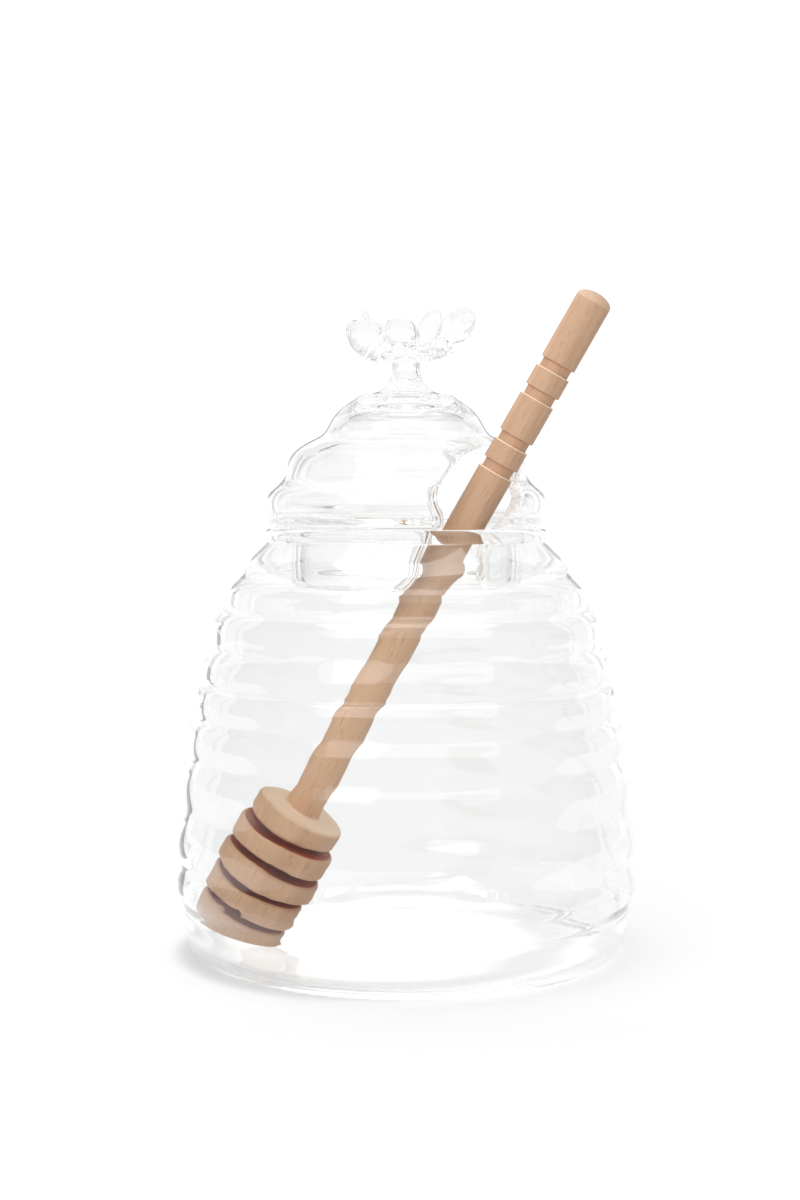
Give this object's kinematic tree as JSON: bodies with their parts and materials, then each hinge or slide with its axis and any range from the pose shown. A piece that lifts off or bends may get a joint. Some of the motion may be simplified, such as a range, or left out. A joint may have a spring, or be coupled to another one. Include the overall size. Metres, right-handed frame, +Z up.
{
  "type": "honey dispenser",
  "caption": "Clear ringed glass honey jar shaped like a beehive, with a notched glass lid under a glass bee knob and a turned wooden honey dipper leaning out through the notch.",
  "frame": {"origin": "centre of the jar's flat underside, on the surface it stands on", "axes": "+Z up along the axis of the jar, -Y towards the front with the lid's notch, +X to the side the dipper leans out to"},
  "size_m": [0.1008, 0.1008, 0.1415],
  "materials": {
    "jar_glass": "clear blown glass, fire polished",
    "lid_glass": "clear blown glass, fire polished",
    "dipper_wood": "bare turned beech, fine straight grain"
  },
  "bodies": {
    "root": {"jar": "jar_glass", "lid": "lid_glass", "dipper": "dipper_wood"}
  },
  "joints": []
}
